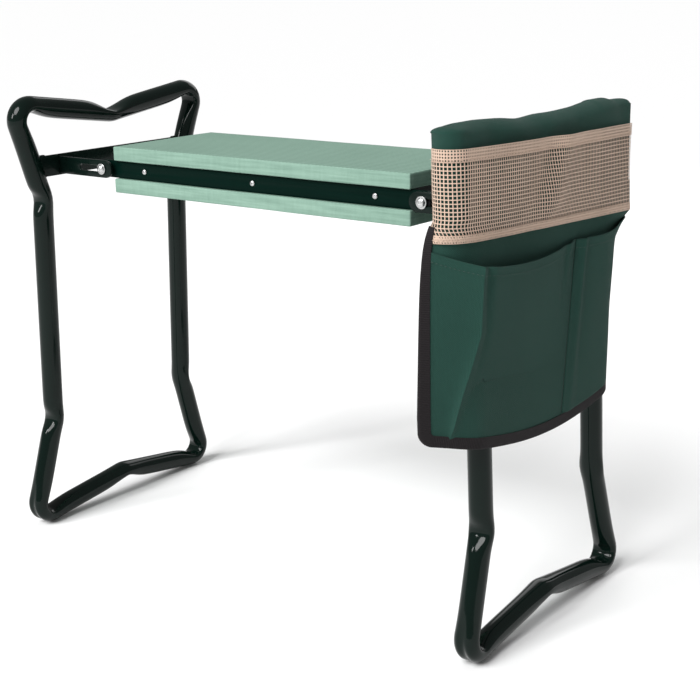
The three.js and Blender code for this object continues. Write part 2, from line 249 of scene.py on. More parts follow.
def dull_plastic(name, color):
    plastic = Finish(name)
    place = plastic.place()
    grain = plastic.noise(place, 180, 4)
    plastic.wire("Base Color", plastic.blend(grain, [c * 0.6 for c in color] + [1], color + [1]))
    plastic.wire("Roughness", grain * 0.2 + 0.5)
    plastic.bump(plastic.noise(place, 1500, 3), 0.00006)
    return plastic.material


ZINC = zinc_plate()
NYLON = dull_plastic("black_nylon", [0.012, 0.012, 0.013])
BOARD_FINISH = dull_plastic("dark_board", [0.014, 0.02, 0.017])

# %% [markdown]
# ## Foam
# The pads are closed-cell foam. Their faces carry a fine embossed diamond pattern from the mould, and
# their sides are cut with a knife, which leaves upright drag lines and open cells.


# %% Foam
FOAM_LIGHT = (0.262, 0.4, 0.325, 1)
FOAM_DARK = (0.125, 0.215, 0.17, 1)
DIAMOND_PITCH = 9.0 * MM


def foam():
    pad = Finish("green_foam", Specular_IOR_Level=0.12)
    place = pad.place()
    x, y, z = pad.axes(place)
    turns = 2 * math.pi / DIAMOND_PITCH
    one = ((x + y * 0.6) * turns).sine()
    other = ((x - y * 0.6) * turns).sine()
    diamonds = one * other
    normal = pad.node("ShaderNodeNewGeometry", {}, {}, "Normal")
    faces_up = (pad.axes(normal)[2].size() - 0.7).above(0)
    cells = pad.noise(place, 900, 3)
    drag = pad.noise(pad.stretch(place, (260, 260, 40)), 1, 4)
    streaks = pad.noise(pad.stretch(place, (18, 18, 420)), 1, 3)
    cut_relief = drag * 0.5 + streaks * 0.35
    height = faces_up * (diamonds * 0.5) + (1 - faces_up) * cut_relief + cells * 0.25
    pad.bump(height, 0.0009)
    worn = pad.noise(place, 11, 5)
    # Painted shade: the colour is darkened in the hollows of the embossed diamonds on the faces and along
    # the knife's drag lines on the sides, standing in for light and shade on their relief.
    painted_drag_shade = streaks * 1.1 + drag * 0.35 - 0.38
    painted_relief_shade = faces_up * (diamonds * 0.42 + 0.32) + (1 - faces_up) * painted_drag_shade
    shade = (painted_relief_shade + worn * 0.3 + cells * 0.15).clamp()
    pad.wire("Base Color", pad.blend(shade, FOAM_DARK, FOAM_LIGHT))
    pad.wire("Roughness", cells * 0.1 + 0.78)
    return pad.material


FOAM = foam()

# %% [markdown]
# ## Cloth
# The pouch is plain-woven polyester, thick threads over and under. The pattern runs on the piece's
# own UV map, laid out in metres of cloth, so the threads turn with every fold. The binding tape is
# ribbed across, and the net's cords are faintly twisted.

# %% Woven cloth, net and tape
THREAD = 0.9 * MM
RIB = 1.5 * MM


def woven(name, color, thread, depth):
    cloth = Finish(name, Sheen_Weight=0.05, Sheen_Roughness=0.5, Specular_IOR_Level=0.1)
    place = cloth.cloth_place()
    u, v, _ = cloth.axes(place)
    warp = (u * (math.pi / thread)).sine()
    weft = (v * (math.pi / thread)).sine()
    over = (warp * weft).above(0)
    threads = over * warp.size() + (1 - over) * weft.size()
    slubs = cloth.noise(cloth.stretch(place, (900, 90, 1)), 1, 3)
    fade = cloth.noise(cloth.place(), 9, 5)
    # Painted shade of the weave: each thread is lighter on its crown and darker where it dips under its
    # neighbour; slubs and fade are the cloth's own tone.
    shade = (threads * 0.35 + slubs * 0.3 + fade * 0.5).clamp()
    dark = [c * 0.62 for c in color] + [1]
    cloth.wire("Base Color", cloth.blend(shade, dark, [c * 1.2 for c in color] + [1]))
    cloth.wire("Roughness", slubs * 0.15 + 0.72)
    cloth.bump(threads * 0.7 + slubs * 0.3, depth)
    return cloth.material


def ribbed_tape():
    tape = Finish("binding_tape", Sheen_Weight=0.04, Specular_IOR_Level=0.12)
    place = tape.cloth_place()
    u, v, _ = tape.axes(place)
    ribs = (u * (2 * math.pi / RIB)).sine() * 0.5 + 0.5
    fuzz = tape.noise(tape.place(), 900, 3)
    # Painted shade of the ribs: each rib is lighter on its crest and darker in the groove; the fuzz is the
    # tape's own tone.
    shade = (ribs * 0.5 + fuzz * 0.5).clamp()
    tape.wire("Base Color", tape.blend(shade, (0.006, 0.0055, 0.006, 1), (0.024, 0.02, 0.0215, 1)))
    tape.wire("Roughness", fuzz * 0.1 + 0.8)
    tape.bump(ribs + fuzz * 0.4, 0.0003)
    return tape.material


def net_cord():
    cord = Finish("net_cord", Sheen_Weight=0.1, Specular_IOR_Level=0.2)
    place = cord.cloth_place()
    twist = cord.noise(cord.stretch(place, (2600, 2600, 1)), 1, 3)
    dirt = cord.noise(cord.place(), 30, 4)
    shade = (twist * 0.6 + dirt * 0.4).clamp()
    cord.wire("Base Color", cord.blend(shade, (0.4, 0.28, 0.205, 1), (0.74, 0.56, 0.45, 1)))
    cord.wire("Roughness", twist * 0.15 + 0.62)
    cord.bump(twist, 0.0002)
    return cord.material


POLYESTER = woven("green_polyester", [0.0175, 0.061, 0.047], THREAD, 0.00045)
TAPE = ribbed_tape()
NET = net_cord()

# %% [markdown]
# ## Putting a piece in the scene
# Each finished piece is a mesh whose object sits at the origin. It gets a name, a finish and the body it
# rides on, and the measured nodes that it stands for are hidden.


# %% Piece helpers
def add_piece(name, bm, finish, body, replaced=(), sharp=35):
    """sharp: the angle in degrees from which an edge stays crisp."""
    mesh = bpy.data.meshes.new(name)
    bm.to_mesh(mesh)
    bm.free()
    mesh.materials.append(finish)
    mesh.shade_smooth()
    mesh.set_sharp_from_angle(angle=math.radians(sharp))
    piece = in_scene(name, mesh)
    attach(piece, body)
    if replaced:
        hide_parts(*replaced)
    return piece


def thicken(piece, thickness):
    """Gives a sheet its thickness, half of it on each side."""
    wall = piece.modifiers.new("thickness", "SOLIDIFY")
    wall.thickness = thickness
    wall.offset = 0


# %% [markdown]
# ## Flat steel parts
# The rails, arms and cross bars already have the right outline. A cut steel edge is never knife sharp,
# so each gets a copy whose loose triangles are merged and whose corners are eased by a small bevel,
# which catches a thin line of light.


# %% Eased copies of the steel bars
def eased_copy(node, finish, body, ease=0.45 * MM):
    bm = bmesh.new()
    bm.from_mesh(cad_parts[node].data)
    bmesh.ops.remove_doubles(bm, verts=bm.verts, dist=0.02 * MM)
    flat = math.radians(1)
    bmesh.ops.dissolve_limit(bm, angle_limit=flat, verts=bm.verts, edges=bm.edges)
    corners = [e for e in bm.edges if len(e.link_faces) == 2 and e.calc_face_angle() > math.radians(50)]
    bmesh.ops.bevel(
        bm, geom=corners, offset=ease, segments=2, profile=0.5, affect="EDGES", material=-1,
        clamp_overlap=True,
    )
    add_piece(node + "_eased", bm, finish, body, [node])


for end in ENDS:
    eased_copy(end + "_rail", RAIL_ENAMEL, "seat")
for side, body in LEG_BODY.items():
    eased_copy(side + "_cross_bar", FLAT_ENAMEL, body)
    for end in ENDS:
        eased_copy(f"{side}_hinge_arm_{end}", FLAT_ENAMEL, body)
print("steel bars eased")

# %% [markdown]
# ## The leg loops
# Each leg is one steel tube, bent in a closed loop and welded to itself. The bends are crushed, not
# rolled: the tool presses the inner wall in and the tube spreads sideways. A ring of vertices is
# pushed and spun along the path, which keeps the tube true, and then each ring near a bend is
# pressed in from the inside of the bend.

# %% The path of a loop
TUBE_RADIUS = 11 * MM
TUBE_SIDES = 40
STRAIGHT_STEP = 4 * MM
BEND_STEP = math.radians(5)
LEG_SPLAY = math.radians(2)
FOOT_VALLEY, FOOT_CORNER, KNEE, WAIST, HANDLE_CORNER, HANDLE_VALLEY = range(6)
# Half width, height above the bolts and bend radius of each bend, from the foot's middle round.
HALF_LOOP = {
    FOOT_VALLEY: (0, -378.5, 25),
    FOOT_CORNER: (135, -396.5, 15),
    KNEE: (102, -284, 60),
    WAIST: (102, -33.5, 60),
    HANDLE_CORNER: (136, 68.5, 15),
    HANDLE_VALLEY: (0, 49.5, 25),
}
# How deep each bend's inner wall is pressed in, and over what half length.
CRUSH = {
    FOOT_VALLEY: (6.0, 20),
    FOOT_CORNER: (7.0, 22),
    KNEE: (6.5, 11),
    WAIST: (6.5, 11),
    HANDLE_CORNER: (7.0, 24),
    HANDLE_VALLEY: (9.0, 21),
}
SIDE_SPREAD = 0.26
OUTER_GROOVE = 3.2 * MM
GROOVE_WIDTH = 0.3  # of the tube's radius


def loop_bends():
    """The bends of a loop in order, as (kind, middle-plane point, radius)."""
    half = [(kind, Vector((0, y, z)) * MM, r * MM) for kind, (y, z, r) in HALF_LOOP.items()]
    other = [(kind, Vector((0, -p.y, p.z)), r) for kind, p, r in half[1:-1]]
    return half + other[::-1]


# %% Pushing and spinning the ring
def last_ring(geom):
    """The newest ring of vertices, and the edges that join them."""
    ring = [g for g in geom if isinstance(g, bmesh.types.BMVert)]
    edges = [g for g in geom if isinstance(g, bmesh.types.BMEdge) and set(g.verts) <= set(ring)]
    return ring, edges


def sweep_loop(bm):
    """Builds the tube; returns its rings as (vertices, centre), and its bends."""
    bends = loop_bends()
    count = len(bends)
    turns = []
    for i, (kind, corner, radius) in enumerate(bends):
        arriving = (corner - bends[i - 1][1]).normalized()
        leaving = (bends[(i + 1) % count][1] - corner).normalized()
        turn = arriving.cross(leaving).x
        angle = math.copysign(arriving.angle(leaving), turn)
        inwards = Vector((0, -arriving.z, arriving.y)) * math.copysign(1, turn)
        cut = radius * math.tan(abs(angle) / 2)
        start = corner - arriving * cut
        turns.append((kind, start, corner + leaving * cut, start + inwards * radius, angle, radius))
    first = turns[0][2]
    heading = (turns[1][1] - first).normalized()
    across = Matrix.Translation(first) @ heading.to_track_quat("Z", "X").to_matrix().to_4x4()
    made = bmesh.ops.create_circle(bm, segments=TUBE_SIDES, radius=TUBE_RADIUS, matrix=across)
    ring = made["verts"]
    edges = list({e for v in ring for e in v.link_edges})
    rings = [(ring, first.copy())]
    at = first.copy()
    for kind, start, finish_point, centre, angle, radius in turns[1:] + turns[:1]:
        length = (start - at).length
        steps = max(1, round(length / STRAIGHT_STEP))
        for _ in range(steps):
            ring, edges = last_ring(bmesh.ops.extrude_edge_only(bm, edges=edges)["geom"])
            bmesh.ops.translate(bm, verts=ring, vec=(start - at) / steps)
            rings.append((ring, rings[-1][1] + (start - at) / steps))
        steps = max(3, math.ceil(abs(angle) / BEND_STEP))
        for _ in range(steps):
            out = bmesh.ops.spin(
                bm, geom=ring + edges, cent=centre, axis=(1, 0, 0), angle=angle / steps, steps=1,
                use_merge=False, use_normal_flip=False, use_duplicate=False,
            )["geom_last"]
            ring, edges = last_ring(out)
            moved = Matrix.Rotation(angle / steps, 3, "X") @ (rings[-1][1] - centre) + centre
            rings.append((ring, moved))
        at = finish_point
    return rings, turns


# %% Pressing the bends in
def smooth_share(value):
    value = min(1.0, max(0.0, value))
    return value * value * (3 - 2 * value)


def press_bends(rings, turns):
    for kind, start, finish_point, centre, angle, radius in turns:
        depth, reach = (value * MM for value in CRUSH[kind])
        corner = (start + finish_point) / 2
        outwards = (corner - centre).normalized()
        summit = centre + outwards * radius
        for ring, at in rings:
            distance = (at - summit).length
            if distance > 3 * reach:
                continue
            weight = math.exp(-((distance / reach) ** 2))
            off = at - centre
            along_arc = off.length < radius * 1.02
            inwards = -off.normalized() if along_arc else None
            if inwards is None:
                edge = start if (at - start).length < (at - finish_point).length else finish_point
                inwards = (centre - edge).normalized()
            for v in ring:
                offset = v.co - at
                q = offset.dot(inwards)
                x = offset.x / TUBE_RADIUS
                hollow = 1 - 0.5 * x * x
                push = depth * weight * smooth_share((q / TUBE_RADIUS + 0.35) / 1.35) * hollow
                v.co -= inwards * push
                v.co.x += offset.x * SIDE_SPREAD * weight * depth / TUBE_RADIUS
                if kind == FOOT_CORNER:
                    facing = smooth_share(-q / TUBE_RADIUS * 1.4 - 0.2)
                    crease = math.exp(-((x / GROOVE_WIDTH) ** 2)) * weight * facing
                    v.co += inwards * OUTER_GROOVE * crease


# %% Building both loops
def leaning(side):
    """From a loop's own plane (x outwards, heights from the bolts) to where it stands."""
    way = SIDES[side]
    bar = middle(side + "_cross_bar")
    return Matrix.Translation((bar.x, 0, bar.z)) @ Matrix.Rotation(-way * LEG_SPLAY, 4, "Y")


def leg_loop(side):
    bm = bmesh.new()
    rings, turns = sweep_loop(bm)
    press_bends(rings, turns)
    bmesh.ops.remove_doubles(bm, verts=bm.verts, dist=0.05 * MM)
    bmesh.ops.recalc_face_normals(bm, faces=bm.faces)
    bmesh.ops.transform(bm, matrix=leaning(side), verts=bm.verts)
    print(side, "loop", len(bm.faces), "faces")
    stands_for = [side + "_leg_loop"]
    add_piece(side + "_leg_tube", bm, TUBE_ENAMEL, LEG_BODY[side], stands_for, 80)


for side in SIDES:
    leg_loop(side)

# %% [markdown]
# ## Foam pads
# Each pad is a plain slab with a small rounded edge. Real foam is never quite flat, so its skin is
# divided and moved by a few tenths of a millimetre of slow noise, more on the knife-cut sides.

# %% Pads
PAD_EDGE_EASE = 1.4 * MM
PAD_CELL = 6 * MM
SLOW_WAVE = 0.25 * MM
KNIFE_WAVE = 0.2 * MM


def foam_pad(node):
    low, high = (Vector(corner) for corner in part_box(node))
    bm = bmesh.new()
    bmesh.ops.create_cube(bm, size=1)
    bmesh.ops.scale(bm, vec=high - low, verts=bm.verts)
    bmesh.ops.translate(bm, vec=(low + high) / 2, verts=bm.verts)
    bmesh.ops.bevel(
        bm, geom=bm.edges[:], offset=PAD_EDGE_EASE, segments=3, profile=0.5, affect="EDGES", material=-1,
    )
    size = high - low
    for axis in range(2):
        cuts = int(size[axis] / PAD_CELL)
        for i in range(1, cuts):
            plane = Vector((0, 0, 0))
            plane[axis] = 1
            at = low.copy()
            at[axis] += size[axis] * i / cuts
            geom = bm.verts[:] + bm.edges[:] + bm.faces[:]
            bmesh.ops.bisect_plane(bm, geom=geom, plane_co=at, plane_no=plane)
    for share in (0.3, 0.5, 0.7):
        geom = bm.verts[:] + bm.edges[:] + bm.faces[:]
        at = low + size * share
        bmesh.ops.bisect_plane(bm, geom=geom, plane_co=at, plane_no=(0, 0, 1))
    bm.normal_update()
    centre = (low + high) / 2
    for v in bm.verts:
        side_on = 1 - abs(v.normal.z)
        wave = noise.noise(Vector((v.co.x * 22, v.co.y * 22, v.co.z * 60)))
        knife = noise.noise(Vector((v.co.x * 160, v.co.y * 160, 3)))
        move = -SLOW_WAVE * (0.5 + wave) - side_on * KNIFE_WAVE * knife
        v.co += v.normal * move
    pad = add_piece(node + "_foam", bm, FOAM, "seat", [node], 50)


for node in ("top_pad", "bottom_pad"):
    foam_pad(node)

# %% [markdown]
# ## Bolts, nuts, spacers and rivets
# These are turned parts, so each is a short outline spun about its axis. The bolt has a low domed
# head on a flange, the rivets a dome with the little pit that a blind rivet keeps.


# %% Turned parts
def spun(name, outline, way, place, finish, body, replaced, steps=32):
    """outline: (radius, distance outwards) in millimetres, from the axis and back to the axis."""
    bm = bmesh.new()
    points = [bm.verts.new((r * MM, 0, y * MM)) for r, y in outline]
    edges = [bm.edges.new(pair) for pair in zip(points, points[1:])]
    bmesh.ops.spin(
        bm, geom=points + edges, cent=(0, 0, 0), axis=(0, 0, 1), angle=2 * math.pi, steps=steps,
        use_merge=True, use_duplicate=False,
    )
    bmesh.ops.remove_doubles(bm, verts=bm.verts, dist=0.01 * MM)
    bmesh.ops.recalc_face_normals(bm, faces=bm.faces)
    turn = Matrix.Rotation(math.radians(-90 * way), 4, "X")
    bmesh.ops.transform(bm, matrix=Matrix.Translation(place) @ turn, verts=bm.verts)
    add_piece(name, bm, finish, body, replaced)


HEAD_GAP = 0.3
ARM_AND_GAP = 3.3
RIVET_DEPTH = 13.7


def bolt_outline(tip, head):
    shank = [(0, tip), (2.6, tip), (3, tip + 0.4), (3, head)]
    flange = [(5.4, head), (5.8, head + 0.3), (5.8, head + 0.9), (5.5, head + 1.2), (4.5, head + 1.25)]
    dome = [(4.4, head + 1.9), (3.9, head + 2.6), (2.9, head + 3.2), (1.6, head + 3.5), (1.3, head + 3.5)]
    return shank + flange + dome + [(1.0, head + 3.2), (0, head + 3.15)]


def rivet_outline(tip, head):
    dome = [(2.8, head), (3, head + 0.2), (2.85, head + 0.7), (2.3, head + 1.25), (1.5, head + 1.55)]
    pit = [(0.95, head + 1.6), (0.8, head + 1.3), (0.7, head + 0.7), (0, head + 0.65)]
    return [(0, tip), (1.8, tip), (1.8, head)] + dome + pit


def add_fasteners():
    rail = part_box("back_rail")[1][1] / MM
    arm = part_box("left_hinge_arm_back")[1][1] / MM
    for side in SIDES:
        for end, way in ENDS.items():
            place = f"{side}_{end}"
            at = middle("pivot_bolt_" + place)
            axis = Vector((at.x, 0, at.z))
            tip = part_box(f"pivot_bolt_{side}_back")[0][1] / MM
            body = BOLT_BODY[side]
            bolt = bolt_outline(tip, arm + HEAD_GAP)
            spun("bolt_" + place, bolt, way, axis, ZINC, body, ["pivot_bolt_" + place])
            low, high = rail + HEAD_GAP, arm - ARM_AND_GAP
            ring = [(3.3, low), (6.2, low), (6.6, low + 0.4), (6.6, high - 0.4), (6.2, high), (3.3, high)]
            ring.append(ring[0])
            spun("spacer_" + place, ring, way, axis, NYLON, body, ["pivot_washer_" + place])
            eased_copy("pivot_nut_" + place, ZINC, body, 0.3 * MM)
    for end, way in ENDS.items():
        for i in (1, 2, 3):
            at = middle(f"rivet_{end}_{i}")
            axis = Vector((at.x, 0, at.z))
            rivet = rivet_outline(rail - RIVET_DEPTH, rail + HEAD_GAP)
            node = f"rivet_{end}_{i}"
            spun(node + "_dome", rivet, way, axis, ZINC, "seat", [node], 24)


add_fasteners()
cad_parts["seat_board"].material_slots[0].material = BOARD_FINISH
print("fasteners made")

# %% [markdown]
# ## Weld beads
# Each arm is welded to the cross bar, and the bar to the tube. A bead is a row of small overlapping
# pools of metal that cooled under the enamel, so it is a row of flattened balls.

# %% Weld beads
BEAD_RADIUS = 1.7 * MM
BEAD_STEP = 2.0 * MM
BEAD_POOLS = 5


def bead(bm, start, direction):
    direction = Vector(direction).normalized()
    for i in range(BEAD_POOLS):
        size = BEAD_RADIUS * (1 + 0.15 * noise.noise(start * 900 + Vector((i, 0, 0))))
        spot = Matrix.Translation(start + direction * BEAD_STEP * i)
        shape = Matrix.Diagonal((size, size, size * 0.8, 1))
        bmesh.ops.create_icosphere(bm, subdivisions=2, radius=1, matrix=spot @ shape)


def weld_beads(side):
    bm = bmesh.new()
    bar_low, bar_high = (Vector(corner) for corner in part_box(side + "_cross_bar"))
    for end, way in ENDS.items():
        arm_low, arm_high = (Vector(corner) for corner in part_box(f"{side}_hinge_arm_{end}"))
        face = bar_low.x if side == "right" else bar_high.x
        inner = arm_high.y if way < 0 else arm_low.y
        for height, rise in ((arm_high.z, -1), (arm_low.z, 1)):
            bead(bm, Vector((face, inner, height + rise * 0.5 * MM)), (0, 0, rise))
        tube_side = bar_low.y if way < 0 else bar_high.y
        for height in (bar_low.z, bar_high.z):
            bead(bm, Vector(((bar_low.x + bar_high.x) / 2, tube_side, height)), (0, -way, 0))
    add_piece(side + "_weld_beads", bm, FLAT_ENAMEL, LEG_BODY[side], (), 80)


for side in SIDES:
    weld_beads(side)
print("weld beads laid")

# %% [markdown]
# ## The shape of the pouch
# The pouch is one strong cloth that drops over the handle like a hood and hangs down outside the
# leg as a flap. It could be draped by simulation, but it is stiff, and its folds are the maker's own
# seams, so it is described directly. `on_cloth` turns a place on the flat cloth (across, height) into
# a place in space: round the near end of the handle, along the front, and round the far end. Below
# the hood the two ends swing open and curl back.

# %% From flat cloth to hanging cloth
FRONT_FACE = 14.0
FRONT_FROM = -112.0
FRONT_TO = 87.0
NEAR_TURN = 63.0
FAR_TURN = 74.0
CLOTH_WIDTH = NEAR_TURN + FRONT_TO - FRONT_FROM + FAR_TURN
HOOD_OPENS_AT = {"near": 0.0, "far": -34.0}
# Straight run, bend radius and bend angle of each end, closed at the hood and open at the hem.
NEAR_CLOSED = (24.0, 14.0, 142.0)
NEAR_OPEN = (2.0, 42.0, 38.0)
FAR_CLOSED = (63.0, 10.0, 110.0)
FAR_OPEN = (4.0, 40.0, 40.0)
CLOSED_LENGTH = {"near": 58.7, "far": 82.2}
FAR_FLARE = 7.0
OPEN_LENGTH = {"near": 66.0, "far": 68.0}


def turned(run, radius, angle, travel):
    """Distance back from the front face, and along, after travel over a run, a bend and a run."""
    angle = math.radians(angle)
    bend = min(max(travel - run, 0.0) / radius, angle)
    rest = max(travel - run - radius * angle, 0.0)
    back = radius * (1 - math.cos(bend)) + rest * math.sin(bend)
    along = min(travel, run) + radius * math.sin(bend) + rest * math.cos(bend)
    return back, along


def openness(height, end):
    below = max(0.0, HOOD_OPENS_AT[end] - height)
    return min(1.0, 0.6 * (1 - math.exp(-below / 18)) + 0.44 * below / 180)


def plan_place(across, height):
    """(x, y) of the cloth in the loop's own frame, in millimetres."""
    if NEAR_TURN <= across <= CLOTH_WIDTH - FAR_TURN:
        return Vector((FRONT_FACE, FRONT_FROM + across - NEAR_TURN))
    near = across < NEAR_TURN
    share = (NEAR_TURN - across) / NEAR_TURN if near else (across - CLOTH_WIDTH + FAR_TURN) / FAR_TURN
    end, way, start = ("near", -1, FRONT_FROM) if near else ("far", 1, FRONT_TO)
    closed, opened = (NEAR_CLOSED, NEAR_OPEN) if near else (FAR_CLOSED, FAR_OPEN)
    shut_back, shut_along = turned(*closed, share * CLOSED_LENGTH[end])
    open_back, open_along = turned(*opened, share * OPEN_LENGTH[end])
    if not near:
        shut_along += FAR_FLARE * smooth_share((height - 5) / 75) * share
    mix = openness(height, end)
    back = shut_back + (open_back - shut_back) * mix
    along = shut_along + (open_along - shut_along) * mix
    return Vector((FRONT_FACE - back, start + way * along))


def on_cloth(across, height, lift=0.0):
    """A place lifted off the pouch cloth, in the loop's own frame, in millimetres."""
    here = plan_place(across, height)
    step = 1.0
    along = plan_place(across + step, height) - plan_place(across - step, height)
    outwards = Vector((along.y, -along.x)).normalized()
    there = here + outwards * lift
    return Vector((there.x, there.y, height))


# %% The hem and the crest
CORNER_ROUND = 11.0


def hem_height(across):
    """The flap's lower edge hangs in a shallow bow, with rounded corners."""
    share = across / CLOTH_WIDTH
    bow = -188.5 - 6 * share - 22.5 * math.sin(math.pi * min(1.0, share * 0.98)) ** 1.15
    inside = min(across, CLOTH_WIDTH - across)
    short = max(0.0, CORNER_ROUND - inside)
    return bow + CORNER_ROUND - math.sqrt(max(0.0, CORNER_ROUND**2 - short**2))


def crest_height(along):
    """The top of the hood, high over the tube's corners and slack between them."""
    reach = max(-1.0, min(1.0, (along - 8) / 106))
    slack = math.cos(math.pi * reach / 2) ** 1.2 if abs(along) < 98 else 0.0
    ripple = math.sin(along / 15.5 + 0.6) * 0.9 + math.sin(along / 9 + 2) * 0.35
    ends = 1.2 * smooth_share((-along - 124) / 14) + 3.0 * smooth_share((along - 122) / 14)
    return 77.3 - 5.0 * slack - ends + ripple * slack


def hood_wrinkle(along, height):
    """Soft folds that fan down from the slack top edge."""
    top = crest_height(along)
    fade = smooth_share((height - 5) / 60) * smooth_share((top + 4 - height) / 8)
    fan = math.sin(along / 13 + (top - height) * 0.05 * math.sin(along / 40 + 1))
    cross = noise.noise(Vector((along / 28, height / 34, 1.7)))
    return fade * (1.3 * fan * smooth_share((height - 35) / 40) + 1.8 * cross)


print("pouch cloth", CLOTH_WIDTH, "mm wide before it is sewn")

# %% [markdown]
# ## A grid of cloth
# Every panel starts as a flat grid. Before it is shaped, the flat place of each corner is kept in a UV
# map named cloth, in metres, so the weave never stretches and the flat size can be measured.

# %% Cloth panels
HANG = leaning("right")


def keep_flat_size(bm):
    layer = bm.loops.layers.uv.new("cloth")
    for face in bm.faces:
        for corner in face.loops:
            corner[layer].uv = corner.vert.co.xy


def panel(columns, rows, place):
    """A grid over columns x rows; place(share across, share up) gives flat and hanging places in mm."""
    bm = bmesh.new()
    bmesh.ops.create_grid(bm, x_segments=columns, y_segments=rows, size=0.5)
    shares = {v: (v.co.x + 0.5, v.co.y + 0.5) for v in bm.verts}
    hanging = {}
    for v, share in shares.items():
        flat, hanging[v] = place(*share)
        v.co = Vector((flat[0], flat[1], 0)) * MM
    keep_flat_size(bm)
    area = sum(face.calc_area() for face in bm.faces)
    spans = [max(v.co[i] for v in bm.verts) - min(v.co[i] for v in bm.verts) for i in range(2)]
    for v, spot in hanging.items():
        v.co = HANG @ (spot * MM)
    bm.normal_update()
    return bm, (spans[0], spans[1]), area


def cut_sheet(piece, flat, area):
    min(area, flat[0] * flat[1])
    print(piece.name, "cut", [round(side / MM) for side in flat], "mm,", round(area * 1e4), "cm2")


# %% [markdown]
# ## Front cloth and hood back
# The front cloth runs from the hem up over the handle to the crest. The hood back comes down from
# the crest behind the handle and stops above the cross bar. The two are sewn at the ends. Each is a
# thin sheet that is then given its thickness.

# %% Front cloth
CLOTH_THICKNESS = 0.9 * MM
CREST_DROP = 11.0
END_CREST_DROP = 5.0
CREST_CLOTH = 1.35  # cloth used by the rounding, for each millimetre that it drops
CREST_SHARE = 0.07
HOOD_LEVEL = 50.0
NEAR_AXIS = Vector((0.0, -136.0))
FAR_AXIS = Vector((4.0, 150.0))


def on_axis(along):
    """The handle's line under the hood: (place, height of the rounding over it)."""
    along = min(max(along, NEAR_AXIS.y), FAR_AXIS.y)
    far = smooth_share((along - 118) / 32)
    near = smooth_share((-along - 118) / 18)
    drop = CREST_DROP + (END_CREST_DROP - CREST_DROP) * max(near, far)
    return Vector((FAR_AXIS.x * far, along)), drop


def over_the_top(spot, turn):
    """Draws a place at the top of the hood in towards the line of the handle."""
    axis, drop = on_axis(spot.y)
    along = axis.y
    inwards = Vector((spot.x, spot.y)) - axis
    top = crest_height(along) - drop + drop * math.sin(turn)
    level = axis + inwards * math.cos(turn)
    return Vector((level.x, level.y, top)), drop


def front_place(u, v):
    across = u * CLOTH_WIDTH
    along = plan_place(across, HOOD_LEVEL).y
    axis, drop = on_axis(along)
    low = hem_height(across)
    high = crest_height(axis.y) - drop
    if v <= 1 - CREST_SHARE:
        height = low + (high - low) * v / (1 - CREST_SHARE)
        calm = smooth_share(min(across, CLOTH_WIDTH - across) / 30)
        lift = hood_wrinkle(along, height) * calm
        sway = noise.noise(Vector((across / 60, height / 70, 4.2))) * 1.6
        lift += sway * smooth_share(-height / 60) * calm
        return (across, height), on_cloth(across, height, lift)
    turn = (v - 1 + CREST_SHARE) / CREST_SHARE * math.pi / 2
    spot, drop = over_the_top(on_cloth(across, high, hood_wrinkle(along, high)), turn)
    return (across, high + drop * CREST_CLOTH * turn / (math.pi / 2)), spot


def cloth_piece(name, node, grid, place, sharp=60, turned_round=False):
    bm, flat, area = panel(*grid, place)
    if turned_round:
        bmesh.ops.reverse_faces(bm, faces=bm.faces)
    cloth = add_piece(name, bm, POLYESTER, "right_legs", [node], sharp)
    thicken(cloth, CLOTH_THICKNESS)
    cut_sheet(cloth, flat, area)
    return cloth.name


FRONT_CLOTH = cloth_piece(
    "pouch_front_cloth", "pouch_panel", (132, 112), front_place
)

# %% Hood back
BACK_FACE = -13.6
BACK_WIDTH = 305.0
BACK_RISE = 0.78  # share of the cloth below the rounding
HOOD_FOOT = 17.0
NEAR_SEAM = 0.04
FAR_SEAM = 0.92


def back_plan(share):
    """Behind the handle from the near seam to the far seam."""
    near, far = plan_place(0, HOOD_LEVEL), plan_place(CLOTH_WIDTH, HOOD_LEVEL)
    near_corner = Vector((BACK_FACE, NEAR_AXIS.y + 1))
    far_corner = Vector((BACK_FACE, FAR_AXIS.y - 10))
    if share < NEAR_SEAM:
        return near.lerp(near_corner, share / NEAR_SEAM)
    if share > FAR_SEAM:
        turn = (share - FAR_SEAM) / (1 - FAR_SEAM) * math.pi / 2
        reach = far - far_corner
        return far_corner + Vector((reach.x * (1 - math.cos(turn)), reach.y * math.sin(turn)))
    return near_corner.lerp(far_corner, (share - NEAR_SEAM) / (FAR_SEAM - NEAR_SEAM))


def back_place(u, v):
    level = back_plan(u)
    axis, drop = on_axis(level.y)
    along = axis.y
    high = crest_height(along) - drop
    calm = math.sin(math.pi * u)
    if v <= BACK_RISE:
        height = HOOD_FOOT + (high - HOOD_FOOT) * v / BACK_RISE
        sway = noise.noise(Vector((along / 40, height / 30, 9.1))) * 1.4 * calm
        return (u * BACK_WIDTH, height), Vector((level.x - abs(sway), level.y, height))
    turn = (v - BACK_RISE) / (1 - BACK_RISE) * math.pi / 2
    spot, drop = over_the_top(Vector((level.x, level.y, high)), turn)
    return (u * BACK_WIDTH, high + drop * CREST_CLOTH * turn / (math.pi / 2)), spot


cloth_piece(
    "pouch_hood_back", "pouch_hood", (110, 30), back_place, turned_round=True
)

# %% [markdown]
# ## Main pocket and side pocket
# The main pocket is cut wider than the flap behind it, so its mouth stands open and the spare cloth
# makes one upright fold near the near side, which slants away lower down. The side pocket lies almost
# flat. Their mouths are hemmed, which shows as a slightly raised band.

